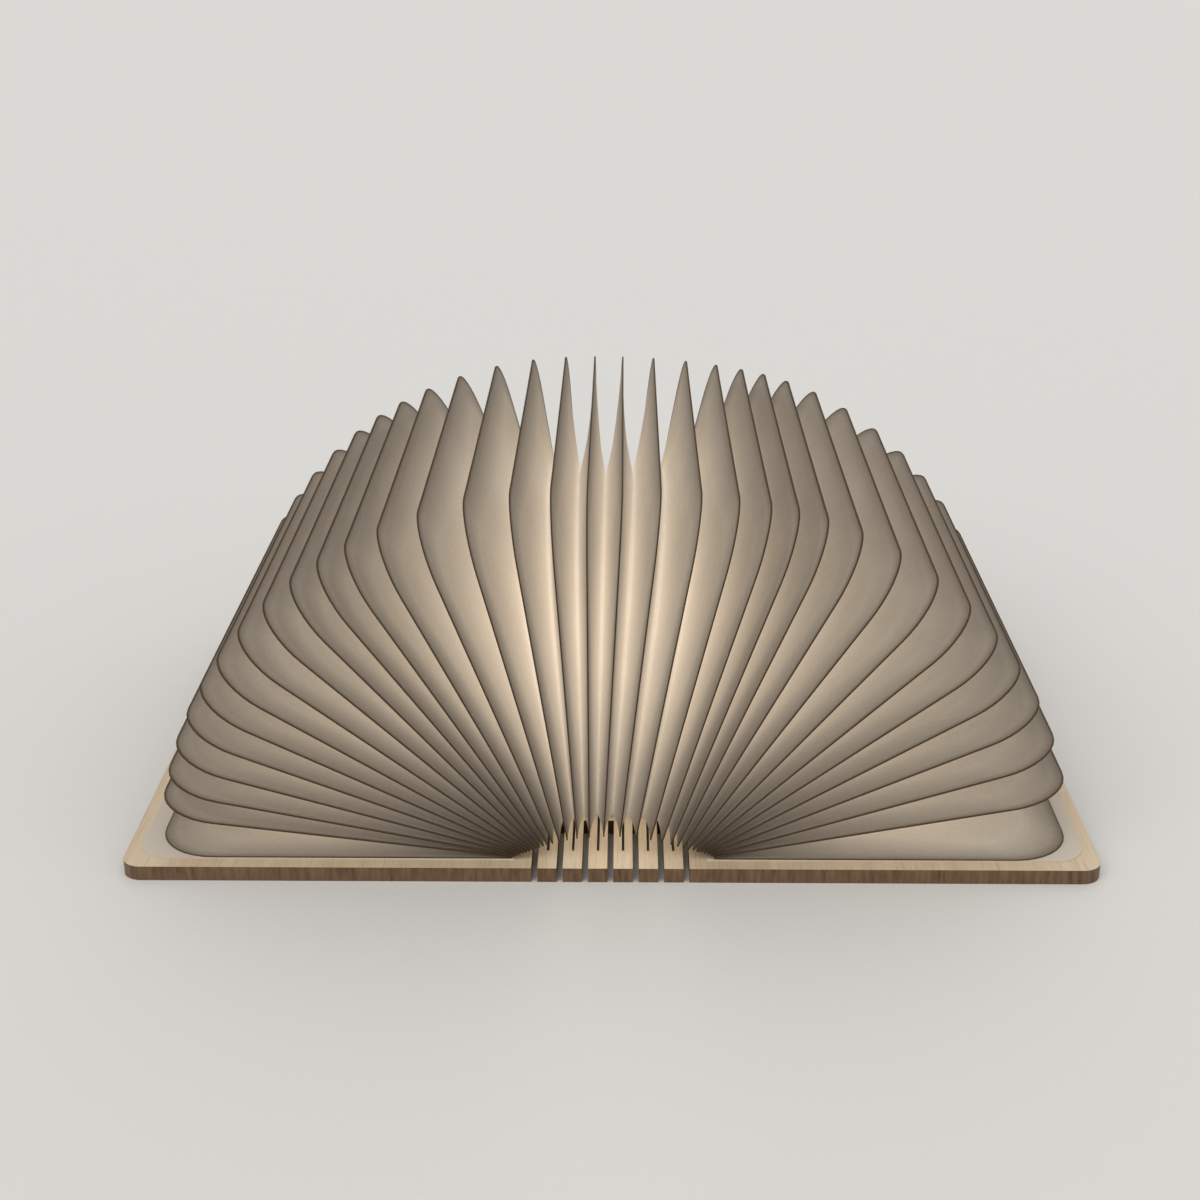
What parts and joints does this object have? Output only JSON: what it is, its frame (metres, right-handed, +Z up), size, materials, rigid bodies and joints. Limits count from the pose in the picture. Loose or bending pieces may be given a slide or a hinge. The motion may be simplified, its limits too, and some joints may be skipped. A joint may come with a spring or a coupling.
{
  "type": "folding book lamp",
  "caption": "Book-shaped paper lamp lying open: two wooden covers, a slit flexible wooden spine and a fan of glued C-shaped paper pages over a long light module.",
  "frame": {"origin": "on the table, under the middle of the spine of the opened lamp", "axes": "+X from the spine to the right-hand cover's fore edge, +Y along the spine away from the reader, +Z up"},
  "size_m": [0.19, 0.122, 0.0758],
  "materials": {
    "wood": "satin",
    "paper": "matte",
    "magnet": "polished",
    "white_plastic": "matte",
    "diffuser": "frosted",
    "led_board": "matte",
    "led": "gloss",
    "battery": "satin",
    "circuit_board": "satin",
    "steel": "brushed",
    "switch_glass": "clear",
    "tape": "matte"
  },
  "bodies": {
    "light_module": {"spine": "wood", "module_base": "white_plastic", "led_tray": "white_plastic", "diffuser": "diffuser", "led_board": "led_board", "led_chips": "led", "battery": "battery", "control_board": "circuit_board", "charge_socket": "steel", "fold_switch": "switch_glass", "module_screws": "steel", "mounting_tape": "tape"},
    "left_cover_body": {"left_cover": "wood", "left_lining": "paper", "left_cover_magnets": "magnet"},
    "right_cover_body": {"right_cover": "wood", "right_lining": "paper", "right_cover_magnets": "magnet"},
    "page_18_leaves": {"page_18": "paper"},
    "page_19_leaves": {"page_19": "paper"},
    "page_20_leaves": {"page_20": "paper"},
    "page_21_leaves": {"page_21": "paper"},
    "page_22_leaves": {"page_22": "paper"},
    "page_23_leaves": {"page_23": "paper"},
    "page_24_leaves": {"page_24": "paper"},
    "page_25_leaves": {"page_25": "paper"},
    "page_26_leaves": {"page_26": "paper"},
    "page_27_leaves": {"page_27": "paper"},
    "page_28_leaves": {"page_28": "paper"},
    "page_29_leaves": {"page_29": "paper"},
    "page_30_leaves": {"page_30": "paper"},
    "page_31_leaves": {"page_31": "paper"},
    "page_32_leaves": {"page_32": "paper"},
    "page_33_leaves": {"page_33": "paper"},
    "page_17_leaves": {"page_17": "paper"},
    "page_16_leaves": {"page_16": "paper"},
    "page_15_leaves": {"page_15": "paper"},
    "page_14_leaves": {"page_14": "paper"},
    "page_13_leaves": {"page_13": "paper"},
    "page_12_leaves": {"page_12": "paper"},
    "page_11_leaves": {"page_11": "paper"},
    "page_10_leaves": {"page_10": "paper"},
    "page_09_leaves": {"page_09": "paper"},
    "page_08_leaves": {"page_08": "paper"},
    "page_07_leaves": {"page_07": "paper"},
    "page_06_leaves": {"page_06": "paper"},
    "page_05_leaves": {"page_05": "paper"},
    "page_04_leaves": {"page_04": "paper"},
    "page_03_leaves": {"page_03": "paper"},
    "page_02_leaves": {"page_02": "paper"},
    "page_01_leaves": {"page_01": "paper"}
  },
  "joints": [
    {"name": "left_cover_fold", "type": "hinge", "parent": "light_module", "child": "left_cover_body", "pos_m": [-0.01103, 0, 0.0015], "axis": [0, 1, 0], "range_deg": [-90, 90], "deforming": ["spine"]},
    {"name": "right_cover_fold", "type": "hinge", "parent": "light_module", "child": "right_cover_body", "pos_m": [0.01103, 0, 0.0015], "axis": [0, -1, 0], "range_deg": [-90, 90], "deforming": ["spine"]},
    {"name": "page_18_turn", "type": "hinge", "parent": "light_module", "child": "page_18_leaves", "pos_m": [-0.00084, 0, 0.03774], "axis": [0, -1, 0], "range_deg": [-2.37, 2.37], "deforming": ["page_18"]},
    {"name": "page_19_turn", "type": "hinge", "parent": "page_18_leaves", "child": "page_19_leaves", "pos_m": [0.06682, 0, -0.02104], "axis": [0, -1, 0], "range_deg": [-3.81, 3.81], "deforming": ["page_19"]},
    {"name": "page_20_turn", "type": "hinge", "parent": "page_19_leaves", "child": "page_20_leaves", "pos_m": [0.0044, 0, -0.01927], "axis": [0, -1, 0], "range_deg": [-4.14, 4.14], "deforming": ["page_20"]},
    {"name": "page_21_turn", "type": "hinge", "parent": "page_20_leaves", "child": "page_21_leaves", "pos_m": [-0.00532, 0, -0.01641], "axis": [0, -1, 0], "range_deg": [-3.93, 3.93], "deforming": ["page_21"]},
    {"name": "page_22_turn", "type": "hinge", "parent": "page_21_leaves", "child": "page_22_leaves", "pos_m": [-0.00402, 0, -0.01444], "axis": [0, -1, 0], "range_deg": [-3.35, 3.35], "deforming": ["page_22"]},
    {"name": "page_23_turn", "type": "hinge", "parent": "page_22_leaves", "child": "page_23_leaves", "pos_m": [0.00673, 0, -0.01], "axis": [0, -1, 0], "range_deg": [-3.07, 3.07], "deforming": ["page_23"]},
    {"name": "page_24_turn", "type": "hinge", "parent": "page_23_leaves", "child": "page_24_leaves", "pos_m": [0.01539, 0, -0.00216], "axis": [0, -1, 0], "range_deg": [-3.62, 3.62], "deforming": ["page_24"]},
    {"name": "page_25_turn", "type": "hinge", "parent": "page_24_leaves", "child": "page_25_leaves", "pos_m": [0.01279, 0, 0.00493], "axis": [0, -1, 0], "range_deg": [-4.82, 4.82], "deforming": ["page_25"]},
    {"name": "page_26_turn", "type": "hinge", "parent": "page_25_leaves", "child": "page_26_leaves", "pos_m": [0.00661, 0, 0.00977], "axis": [0, -1, 0], "range_deg": [-5.99, 5.99], "deforming": ["page_26"]},
    {"name": "page_27_turn", "type": "hinge", "parent": "page_26_leaves", "child": "page_27_leaves", "pos_m": [0.00318, 0, 0.01229], "axis": [0, -1, 0], "range_deg": [-6.51, 6.51], "deforming": ["page_27"]},
    {"name": "page_28_turn", "type": "hinge", "parent": "page_27_leaves", "child": "page_28_leaves", "pos_m": [0.00333, 0, 0.01128], "axis": [0, -1, 0], "range_deg": [-6.37, 6.37], "deforming": ["page_28"]},
    {"name": "page_29_turn", "type": "hinge", "parent": "page_28_leaves", "child": "page_29_leaves", "pos_m": [0.01097, 0, 0.00425], "axis": [0, -1, 0], "range_deg": [-6.06, 6.06], "deforming": ["page_29"]},
    {"name": "page_30_turn", "type": "hinge", "parent": "page_29_leaves", "child": "page_30_leaves", "pos_m": [0.01472, 0, -0.00044], "axis": [0, -1, 0], "range_deg": [-6.03, 6.03], "deforming": ["page_30"]},
    {"name": "page_31_turn", "type": "hinge", "parent": "page_30_leaves", "child": "page_31_leaves", "pos_m": [0.01436, 0, -0.00059], "axis": [0, -1, 0], "range_deg": [-6.29, 6.29], "deforming": ["page_31"]},
    {"name": "page_32_turn", "type": "hinge", "parent": "page_31_leaves", "child": "page_32_leaves", "pos_m": [0.01351, 0, -0.00087], "axis": [0, -1, 0], "range_deg": [-6.58, 6.58], "deforming": ["page_32"]},
    {"name": "page_33_turn", "type": "hinge", "parent": "page_32_leaves", "child": "page_33_leaves", "pos_m": [0.01218, 0, -0.0023], "axis": [0, -1, 0], "range_deg": [-6.79, 6.79], "deforming": ["page_33"]},
    {"name": "page_17_turn", "type": "hinge", "parent": "page_18_leaves", "child": "page_17_leaves", "pos_m": [-0.05727, 0, -0.01739], "axis": [0, 1, 0], "range_deg": [-3.46, 3.46], "deforming": ["page_17"]},
    {"name": "page_16_turn", "type": "hinge", "parent": "page_17_leaves", "child": "page_16_leaves", "pos_m": [-0.0151, 0, -0.01203], "axis": [0, 1, 0], "range_deg": [-3.95, 3.95], "deforming": ["page_16"]},
    {"name": "page_15_turn", "type": "hinge", "parent": "page_16_leaves", "child": "page_15_leaves", "pos_m": [-0.01164, 0, -0.00392], "axis": [0, 1, 0], "range_deg": [-4.94, 4.94], "deforming": ["page_15"]},
    {"name": "page_14_turn", "type": "hinge", "parent": "page_15_leaves", "child": "page_14_leaves", "pos_m": [-0.00692, 0, 0.00124], "axis": [0, 1, 0], "range_deg": [-6.01, 6.01], "deforming": ["page_14"]},
    {"name": "page_13_turn", "type": "hinge", "parent": "page_14_leaves", "child": "page_13_leaves", "pos_m": [-0.00154, 0, 0.00439], "axis": [0, 1, 0], "range_deg": [-6.4, 6.4], "deforming": ["page_13"]},
    {"name": "page_12_turn", "type": "hinge", "parent": "page_13_leaves", "child": "page_12_leaves", "pos_m": [0.00072, 0, 0.00601], "axis": [0, 1, 0], "range_deg": [-5.88, 5.88], "deforming": ["page_12"]},
    {"name": "page_11_turn", "type": "hinge", "parent": "page_12_leaves", "child": "page_11_leaves", "pos_m": [-0.00097, 0, 0.00658], "axis": [0, 1, 0], "range_deg": [-5.02, 5.02], "deforming": ["page_11"]},
    {"name": "page_10_turn", "type": "hinge", "parent": "page_11_leaves", "child": "page_10_leaves", "pos_m": [-0.00459, 0, 0.00764], "axis": [0, 1, 0], "range_deg": [-4.55, 4.55], "deforming": ["page_10"]},
    {"name": "page_09_turn", "type": "hinge", "parent": "page_10_leaves", "child": "page_09_leaves", "pos_m": [-0.00668, 0, 0.00955], "axis": [0, 1, 0], "range_deg": [-4.78, 4.78], "deforming": ["page_09"]},
    {"name": "page_08_turn", "type": "hinge", "parent": "page_09_leaves", "child": "page_08_leaves", "pos_m": [-0.00722, 0, 0.01055], "axis": [0, 1, 0], "range_deg": [-5.33, 5.33], "deforming": ["page_08"]},
    {"name": "page_07_turn", "type": "hinge", "parent": "page_08_leaves", "child": "page_07_leaves", "pos_m": [-0.00869, 0, 0.00918], "axis": [0, 1, 0], "range_deg": [-5.62, 5.62], "deforming": ["page_07"]},
    {"name": "page_06_turn", "type": "hinge", "parent": "page_07_leaves", "child": "page_06_leaves", "pos_m": [-0.01399, 0, 0.00212], "axis": [0, 1, 0], "range_deg": [-5.44, 5.44], "deforming": ["page_06"]},
    {"name": "page_05_turn", "type": "hinge", "parent": "page_06_leaves", "child": "page_05_leaves", "pos_m": [-0.01536, 0, -0.00085], "axis": [0, 1, 0], "range_deg": [-5.08, 5.08], "deforming": ["page_05"]},
    {"name": "page_04_turn", "type": "hinge", "parent": "page_05_leaves", "child": "page_04_leaves", "pos_m": [-0.01552, 0, -0.0013], "axis": [0, 1, 0], "range_deg": [-4.91, 4.91], "deforming": ["page_04"]},
    {"name": "page_03_turn", "type": "hinge", "parent": "page_04_leaves", "child": "page_03_leaves", "pos_m": [-0.0155, 0, -0.00161], "axis": [0, 1, 0], "range_deg": [-4.96, 4.96], "deforming": ["page_03"]},
    {"name": "page_02_turn", "type": "hinge", "parent": "page_03_leaves", "child": "page_02_leaves", "pos_m": [-0.01517, 0, -0.00252], "axis": [0, 1, 0], "range_deg": [-4.84, 4.84], "deforming": ["page_02"]},
    {"name": "page_01_turn", "type": "hinge", "parent": "page_02_leaves", "child": "page_01_leaves", "pos_m": [-0.01544, 0, -0.0148], "axis": [0, 1, 0], "range_deg": [-4.25, 4.25], "deforming": ["page_01"]}
  ],
  "couplings": [
    {"joint": "page_18_turn", "follows": "right_cover_fold", "ratio": 0.026268},
    {"joint": "page_19_turn", "follows": "right_cover_fold", "ratio": 0.042211},
    {"joint": "page_20_turn", "follows": "right_cover_fold", "ratio": 0.045888},
    {"joint": "page_21_turn", "follows": "right_cover_fold", "ratio": 0.043598},
    {"joint": "page_22_turn", "follows": "right_cover_fold", "ratio": 0.037123},
    {"joint": "page_23_turn", "follows": "right_cover_fold", "ratio": 0.034023},
    {"joint": "page_24_turn", "follows": "right_cover_fold", "ratio": 0.04008},
    {"joint": "page_25_turn", "follows": "right_cover_fold", "ratio": 0.053493},
    {"joint": "page_26_turn", "follows": "right_cover_fold", "ratio": 0.066437},
    {"joint": "page_27_turn", "follows": "right_cover_fold", "ratio": 0.072185},
    {"joint": "page_28_turn", "follows": "right_cover_fold", "ratio": 0.070657},
    {"joint": "page_29_turn", "follows": "right_cover_fold", "ratio": 0.067269},
    {"joint": "page_30_turn", "follows": "right_cover_fold", "ratio": 0.066938},
    {"joint": "page_31_turn", "follows": "right_cover_fold", "ratio": 0.069831},
    {"joint": "page_32_turn", "follows": "right_cover_fold", "ratio": 0.073007},
    {"joint": "page_33_turn", "follows": "right_cover_fold", "ratio": 0.075394},
    {"joint": "page_17_turn", "follows": "left_cover_fold", "ratio": 0.038288},
    {"joint": "page_16_turn", "follows": "left_cover_fold", "ratio": 0.04377},
    {"joint": "page_15_turn", "follows": "left_cover_fold", "ratio": 0.054743},
    {"joint": "page_14_turn", "follows": "left_cover_fold", "ratio": 0.066677},
    {"joint": "page_13_turn", "follows": "left_cover_fold", "ratio": 0.070957},
    {"joint": "page_12_turn", "follows": "left_cover_fold", "ratio": 0.065282},
    {"joint": "page_11_turn", "follows": "left_cover_fold", "ratio": 0.055622},
    {"joint": "page_10_turn", "follows": "left_cover_fold", "ratio": 0.050425},
    {"joint": "page_09_turn", "follows": "left_cover_fold", "ratio": 0.052949},
    {"joint": "page_08_turn", "follows": "left_cover_fold", "ratio": 0.059098},
    {"joint": "page_07_turn", "follows": "left_cover_fold", "ratio": 0.062365},
    {"joint": "page_06_turn", "follows": "left_cover_fold", "ratio": 0.060365},
    {"joint": "page_05_turn", "follows": "left_cover_fold", "ratio": 0.056318},
    {"joint": "page_04_turn", "follows": "left_cover_fold", "ratio": 0.054493},
    {"joint": "page_03_turn", "follows": "left_cover_fold", "ratio": 0.055007},
    {"joint": "page_02_turn", "follows": "left_cover_fold", "ratio": 0.053723},
    {"joint": "page_01_turn", "follows": "left_cover_fold", "ratio": 0.047132}
  ]
}
